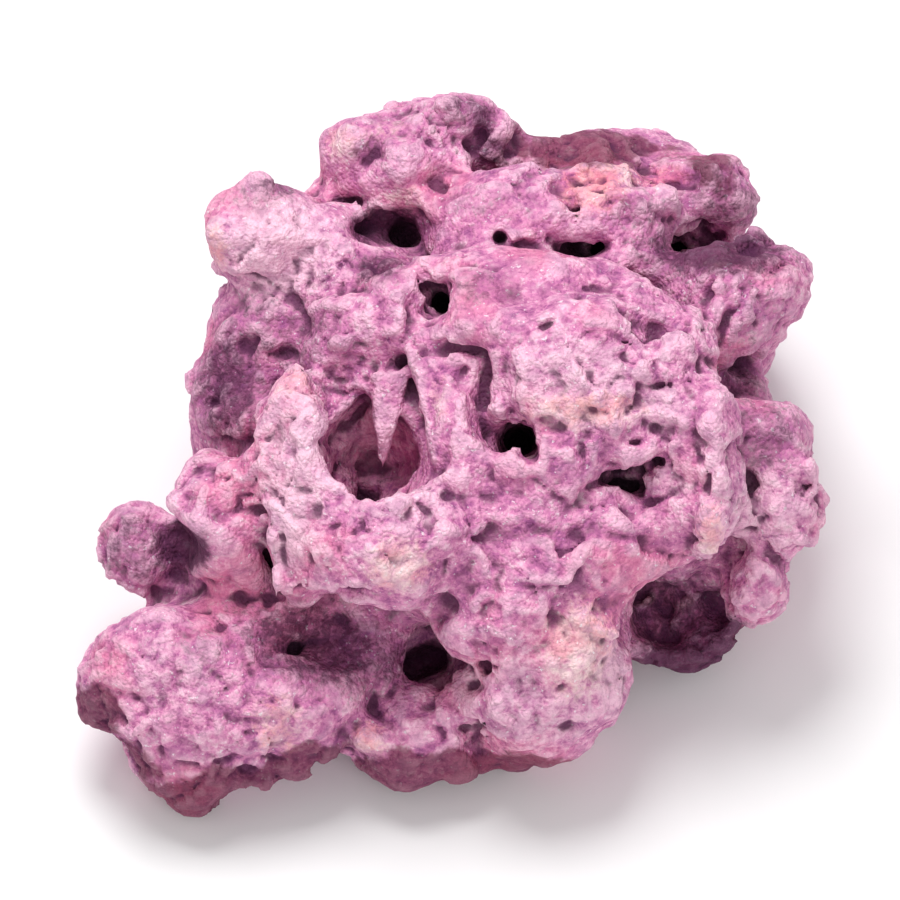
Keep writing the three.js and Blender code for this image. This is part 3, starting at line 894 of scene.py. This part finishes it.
def mean_crossing(values, cells, corners):
    """The mean of the points at which the surface crosses each cell's edges, as a share of the cell."""
    at_corner = [values[tuple((cells + corner).T)] for corner in corners]
    total = np.zeros((len(cells), 3))
    crossings = np.zeros(len(cells))
    for m, corner in enumerate(corners):
        for axis in range(3):
            if corner[axis]:
                continue
            # The corner at the edge's other end is 4, 2 or 1 further on in the list, along x, y or z.
            n = m + (4, 2, 1)[axis]
            crosses = (at_corner[m] < 0) != (at_corner[n] < 0)
            t = at_corner[m][crosses] / (at_corner[m][crosses] - at_corner[n][crosses])
            total[crosses] += corner + t[:, None] * np.eye(3)[axis]
            crossings[crosses] += 1
    return total / crossings[:, None]


def quads_across(inside, index, axis):
    """For each edge of the grid along an axis that the surface crosses, a quad through its four cells."""
    edges = np.argwhere(inside != np.roll(inside, -1, axis))
    edges = edges[(edges > 0).all(1) & (edges < np.array(inside.shape) - 1).all(1)]
    beside = np.eye(3, dtype=int)[(axis + 1) % 3]
    below = np.eye(3, dtype=int)[(axis + 2) % 3]
    around = (0 * beside, beside, beside + below, below)
    ring = np.stack([index[tuple((edges - step).T)] for step in around], 1)
    leaves_stone = inside[tuple(edges.T)]
    return np.where(leaves_stone[:, None], ring, ring[:, ::-1])


def largest_piece(vertices, quads):
    """Leaves out loose crumbs and the walls of sealed bubbles."""
    label = np.arange(len(vertices))
    edges = np.concatenate([quads[:, [n, (n + 1) % 4]] for n in range(4)])
    while True:
        lower = np.minimum(label[edges[:, 0]], label[edges[:, 1]])
        before = label.copy()
        np.minimum.at(label, edges[:, 0], lower)
        np.minimum.at(label, edges[:, 1], lower)
        label = label[label]
        if (label == before).all():
            break
    kept = label == np.bincount(label).argmax()
    renumbered = np.cumsum(kept) - 1
    return vertices[kept], renumbered[quads[kept[quads[:, 0]]]]


def new_mesh_object(name, vertices, faces):
    mesh = bpy.data.meshes.new(name)
    mesh.vertices.add(len(vertices))
    mesh.vertices.foreach_set("co", (vertices / METRE).astype(np.float32).ravel())
    sides = faces.shape[1]
    mesh.loops.add(faces.size)
    mesh.loops.foreach_set("vertex_index", faces.astype(np.int32).ravel())
    mesh.polygons.add(len(faces))
    mesh.polygons.foreach_set("loop_start", np.arange(0, faces.size, sides, dtype=np.int32))
    mesh.update(calc_edges=True)
    mesh.validate()
    obj = bpy.data.objects.new(name, mesh)
    bpy.context.scene.collection.objects.link(obj)
    return obj


def reduce_triangles(obj, most):
    """Merges the flattest places until few enough triangles are left."""
    modifier = obj.modifiers.new("fewer", "DECIMATE")
    modifier.ratio = min(1.0, most / (2 * len(obj.data.polygons)))
    depsgraph = bpy.context.evaluated_depsgraph_get()
    fewer = bpy.data.meshes.new_from_object(obj.evaluated_get(depsgraph))
    obj.modifiers.clear()
    old = obj.data
    obj.data = fewer
    bpy.data.meshes.remove(old)


def set_attribute(obj, name, values):
    attribute = obj.data.attributes.new(name, "FLOAT", "POINT")
    attribute.data.foreach_set("value", values.astype(np.float32))


def cut_ground(field):
    """Leaves no stone under the ground."""
    heights = field.low[2] + field.cell * np.arange(field.values.shape[2])
    field.values = np.maximum(field.values, -heights)


def fine_field(rock):
    """The CAD rock's field on finer cells, with the small forms, the roughness and the pores."""
    field = halved(coarse_field(rock))
    field.values = blur(field.values, CAD_SOFTNESS)
    for change, forms in [
        (add_bridge, BRIDGES),
        (cut_pit, PITS),
        (cut_groove, GROOVES),
        (add_rib, RIBS),
        (add_knob, KNOBS),
        (add_wedge, WEDGES),
    ]:
        for form in forms:
            change(field, rock, *form)
    roughen(field)
    cut_pores(field, surface_net(field)[0])
    cut_ground(field)
    return field


def build_rock(field):
    vertices, quads = largest_piece(*surface_net(field))
    vertices[:, 2] = np.where(vertices[:, 2] < FOOT_SNAP * field.cell, 0, vertices[:, 2])
    obj = new_mesh_object("reef_rock_surface", vertices, quads)
    reduce_triangles(obj, TRIANGLES)
    for polygon in obj.data.polygons:
        polygon.use_smooth = True
    return obj


def patch_share(rock, points, patches):
    """How far each point lies in a patch, going softly from 0 outside to its strength in the middle."""
    right = points @ RIGHT
    up = points @ UP - OUTLINE_MIDDLE_UP
    height = points @ TOWARDS_EYE
    share = np.zeros(len(points))
    for place, half_width, half_height, turn_degrees, strength in patches:
        centre = rock.seen_point(*place)
        reach = max(PATCH_REACH * math.sqrt(half_width * half_height), LEAST_PATCH_REACH)
        turn = math.radians(turn_degrees)
        x = right - place[0]
        y = up - place[1]
        across = (x * math.cos(turn) + y * math.sin(turn)) / half_width
        upwards = (y * math.cos(turn) - x * math.sin(turn)) / half_height
        along = (height - centre @ TOWARDS_EYE) / reach
        inside = np.clip(PATCH_END - np.sqrt(across**2 + upwards**2 + along**2), 0, 1)
        share = np.maximum(share, strength * inside)
    return share


def add_attributes(obj, rock, field):
    """What the stone's colour follows: how hollow or raised the surface is, and its patches."""
    points = np.array([v.co for v in obj.data.vertices]) * METRE
    stone = (field.values < 0).astype(np.float32)
    at_points = field.sampler(points)
    for name, width in HOLLOW_WIDTHS.items():
        set_attribute(obj, name, at_points(blur(stone, width)))
    set_attribute(obj, "cream", patch_share(rock, points, CREAM_PATCHES))
    set_attribute(obj, "orange", patch_share(rock, points, ORANGE_PATCHES))
    set_attribute(obj, "pale", patch_share(rock, points, PALE_AND_HIGHLIGHT_PATCHES))
    set_attribute(obj, "shade", patch_share(rock, points, SHADE_PATCHES))
    set_attribute(obj, "flank_shade_and_brown", patch_share(rock, points, FLANK_SHADE_AND_BROWN_PATCHES))


def linear(colour):
    """A colour as a screen shows it, from 0 to 255, turned into amounts of light."""
    shares = [value / 255 for value in colour]
    return [s / 12.92 if s <= 0.04045 else ((s + 0.055) / 1.055) ** 2.4 for s in shares] + [1.0]


class Shading:
    """Short ways to add nodes to one material."""

    def __init__(self, name):
        self.material = bpy.data.materials.new(name)
        self.material.use_nodes = True
        self.tree = self.material.node_tree
        self.shader = self.tree.nodes["Principled BSDF"]
        self.place = self.tree.nodes.new("ShaderNodeTexCoord").outputs["Object"]

    def add(self, kind, inputs, **settings):
        node = self.tree.nodes.new(kind)
        for name, value in settings.items():
            setattr(node, name, value)
        for name, value in inputs.items():
            if isinstance(value, bpy.types.NodeSocket):
                self.tree.links.new(value, node.inputs[name])
            else:
                node.inputs[name].default_value = value
        return node

    def attribute(self, name):
        return self.add("ShaderNodeAttribute", {}, attribute_name=name).outputs["Fac"]

    def noise(self, wavelength, detail, roughness, distortion):
        inputs = {
            "Vector": self.place,
            "Scale": METRE / wavelength,
            "Detail": detail,
            "Roughness": roughness,
            "Distortion": distortion,
        }
        return self.add("ShaderNodeTexNoise", inputs).outputs["Fac"]

    def shaken(self, wavelength, reach):
        """The place, moved about by soft noise."""
        noise = self.add("ShaderNodeTexNoise", {"Vector": self.place, "Scale": METRE / wavelength})
        inputs = {0: noise.outputs["Color"], 1: [reach / METRE] * 3, 2: self.place}
        return self.add("ShaderNodeVectorMath", inputs, operation="MULTIPLY_ADD").outputs["Vector"]

    def grains(self, size, place=None):
        """Cells of a size: how far each point is from its cell's middle, and a random value for the cell."""
        node = self.add("ShaderNodeTexVoronoi", {"Vector": place or self.place, "Scale": METRE / size})
        value = self.add("ShaderNodeSeparateColor", {"Color": node.outputs["Color"]}).outputs["Red"]
        return node.outputs["Distance"], value

    def math(self, operation, *values):
        inputs = dict(enumerate(values))
        return self.add("ShaderNodeMath", inputs, operation=operation).outputs[0]

    def ramp(self, value, low, high, top):
        """Goes softly from 0 to a top value as the value goes from low to high."""
        inputs = {"Value": value, "From Min": low, "From Max": high, "To Max": top}
        return self.add("ShaderNodeMapRange", inputs, interpolation_type="SMOOTHSTEP").outputs["Result"]

    def mix(self, share, first, second, blend_type="MIX"):
        inputs = {0: share, 6: first, 7: second}
        return self.add("ShaderNodeMix", inputs, data_type="RGBA", blend_type=blend_type).outputs[2]

    def colours(self, value, stops):
        """A run of colours along a value."""
        node = self.add("ShaderNodeValToRGB", {"Fac": value})
        elements = node.color_ramp.elements
        for element, (position, colour) in zip(elements, (stops[0], stops[-1])):
            element.position = position
            element.color = linear(colour)
        for position, colour in stops[1:-1]:
            elements.new(position).color = linear(colour)
        return node.outputs["Color"]


def ragged(shading, name, noise, low, high, top):
    """A patch whose edge is broken up by noise, the mean of which is a half."""
    uneven = shading.math("MULTIPLY_ADD", noise, RAGGEDNESS, shading.attribute(name))
    mean = RAGGEDNESS / 2
    return shading.ramp(uneven, low + mean, high + mean, top)


def stone_colour(shading, mottle, grain_value, clump_distance):
    """Mottled pinks, cream and orange patches, painted highlights, painted shade in hollows and on flanks.
    """
    broad = shading.noise(*BROAD_NOISE)
    blotch = shading.noise(*BLOTCH_NOISE)
    crease = shading.attribute("crease")
    hollow = shading.attribute("hollow")
    mottled = shading.math("MULTIPLY", mottle, MOTTLE_SHARE)
    mixed = shading.math("MULTIPLY_ADD", blotch, BLOTCH_SHARE, mottled)
    speckled = shading.math("MULTIPLY_ADD", grain_value, GRAIN_SHARE, mixed)
    colour = shading.colours(speckled, STONE_RUN)
    colour = shading.mix(shading.ramp(broad, *WARM_RANGE), colour, linear(WARM_PINK))
    # Painted highlight where faces catch the light, with some of the stone's own palest pink.
    pale = ragged(shading, "pale", mottle, *PALE_AND_HIGHLIGHT_RANGE)
    colour = shading.mix(pale, colour, linear(PALE))
    # Painted highlight: crests and knob tips lighter.
    crest_highlight = shading.ramp(crease, *CREST_HIGHLIGHT_RANGE)
    colour = shading.mix(crest_highlight, colour, linear(PALE))
    cream = ragged(shading, "cream", mottle, *CREAM_RANGE)
    colour = shading.mix(cream, colour, shading.colours(blotch, CREAM_RUN))
    orange = ragged(shading, "orange", mottle, *ORANGE_RANGE)
    colour = shading.mix(orange, colour, linear(ORANGE_TINT), "MULTIPLY")
    colour = shading.mix(shading.ramp(clump_distance, *CLUMP_RANGE), colour, linear(LILAC))
    flecks = shading.ramp(shading.noise(*FLECK_NOISE), *FLECK_RANGE)
    colour = shading.mix(flecks, colour, linear(WHITE))
    # Painted shade on the lower flanks, and the dark reddish colour of the back lobes.
    flank_shade_and_brown = ragged(shading, "flank_shade_and_brown", blotch, *FLANK_SHADE_AND_BROWN_RANGE)
    colour = shading.mix(flank_shade_and_brown, colour, linear(FLANK_SHADE_AND_BROWN_TINT), "MULTIPLY")
    # Painted shade in recesses and under overhangs.
    shade = ragged(shading, "shade", mottle, *SHADE_RANGE)
    colour = shading.mix(shade, colour, linear(SHADE_TINT), "MULTIPLY")
    # Painted shade: creases darker purple.
    crease_shade = shading.ramp(crease, *CREASE_SHADE_RANGE)
    colour = shading.mix(crease_shade, colour, linear(CREASE_SHADE_PURPLE))
    # Painted shade: hollows and caves near black, less so under painted highlight.
    hollow_shade = shading.math("MULTIPLY_ADD", shading.attribute("pale"), HIGHLIGHT_LIFT, hollow)
    return shading.mix(shading.ramp(hollow_shade, *HOLLOW_SHADE_RANGE), colour, linear(HOLLOW_SHADE_PURPLE))


def stone_material():
    shading = Shading("reef_stone")
    mottle = shading.noise(*MOTTLE_NOISE)
    grain_distance, grain_value = shading.grains(GRAIN_SIZE)
    clump_distance = shading.grains(CLUMP_SIZE, shading.shaken(*CLUMP_BEND))[0]
    colour = stone_colour(shading, mottle, grain_value, clump_distance)
    rough = shading.math("MULTIPLY_ADD", grain_distance, GRAIN_RELIEF, mottle)
    height = shading.math("MULTIPLY_ADD", clump_distance, CLUMP_RELIEF, rough)
    bumps = {"Strength": BUMP_STRENGTH, "Distance": BUMP_HEIGHT / METRE, "Height": height}
    bump = shading.add("ShaderNodeBump", bumps)
    shading.tree.links.new(colour, shading.shader.inputs["Base Color"])
    shading.tree.links.new(bump.outputs["Normal"], shading.shader.inputs["Normal"])
    shading.shader.inputs["Roughness"].default_value = STONE_ROUGHNESS
    shading.shader.inputs["Specular IOR Level"].default_value = STONE_SHINE
    return shading.material


def add_floor():
    bpy.ops.mesh.primitive_plane_add(size=FLOOR_SIZE, location=(0, 0, 0))
    floor = bpy.context.object
    floor.name = "floor"
    shading = Shading("pale_floor")
    shading.shader.inputs["Base Color"].default_value = (FLOOR_GREY, FLOOR_GREY, FLOOR_GREY, 1)
    shading.shader.inputs["Roughness"].default_value = FLOOR_ROUGHNESS
    floor.data.materials.append(shading.material)


def add_light(name, place, size, power):
    data = bpy.data.lights.new(name, "AREA")
    data.shape = "DISK"
    data.size = size
    data.energy = power
    light = bpy.data.objects.new(name, data)
    light.location = place
    light.rotation_mode = "QUATERNION"
    light.rotation_quaternion = (Vector(LIGHTS_FACE) - Vector(place)).to_track_quat("-Z", "Y")
    bpy.context.scene.collection.objects.link(light)


def add_lights():
    for light in LIGHTS:
        add_light(*light)
    world = bpy.data.worlds.new("room")
    world.use_nodes = True
    background = world.node_tree.nodes["Background"]
    background.inputs["Color"].default_value = (1, 1, 1, 1)
    background.inputs["Strength"].default_value = ROOM_LIGHT
    bpy.context.scene.world = world
    bpy.context.scene.view_settings.view_transform = "Standard"


def add_camera():
    """A very long lens at the seen angle, aimed at the middle of the seen outline."""
    data = bpy.data.cameras.new("camera")
    data.sensor_width = CAMERA_SENSOR
    data.lens = data.sensor_width * CAMERA_DISTANCE / CAMERA_ACROSS
    camera = bpy.data.objects.new("camera", data)
    middle = OUTLINE_MIDDLE_UP * UP + MIDDLE_TOWARDS_EYE * TOWARDS_EYE
    camera.location = Vector(middle / METRE) + CAMERA_DISTANCE * Vector(TOWARDS_EYE)
    camera.rotation_mode = "QUATERNION"
    camera.rotation_quaternion = Vector(-TOWARDS_EYE).to_track_quat("-Z", "Y")
    bpy.context.scene.collection.objects.link(camera)
    bpy.context.scene.camera = camera


def main():
    rock = CadRock(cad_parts["reef_rock"])
    field = fine_field(rock)
    surface = build_rock(field)
    add_attributes(surface, rock, field)
    surface.data.materials.append(stone_material())
    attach(surface, "root")
    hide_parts("reef_rock")
    add_floor()
    add_lights()
    add_camera()


main()
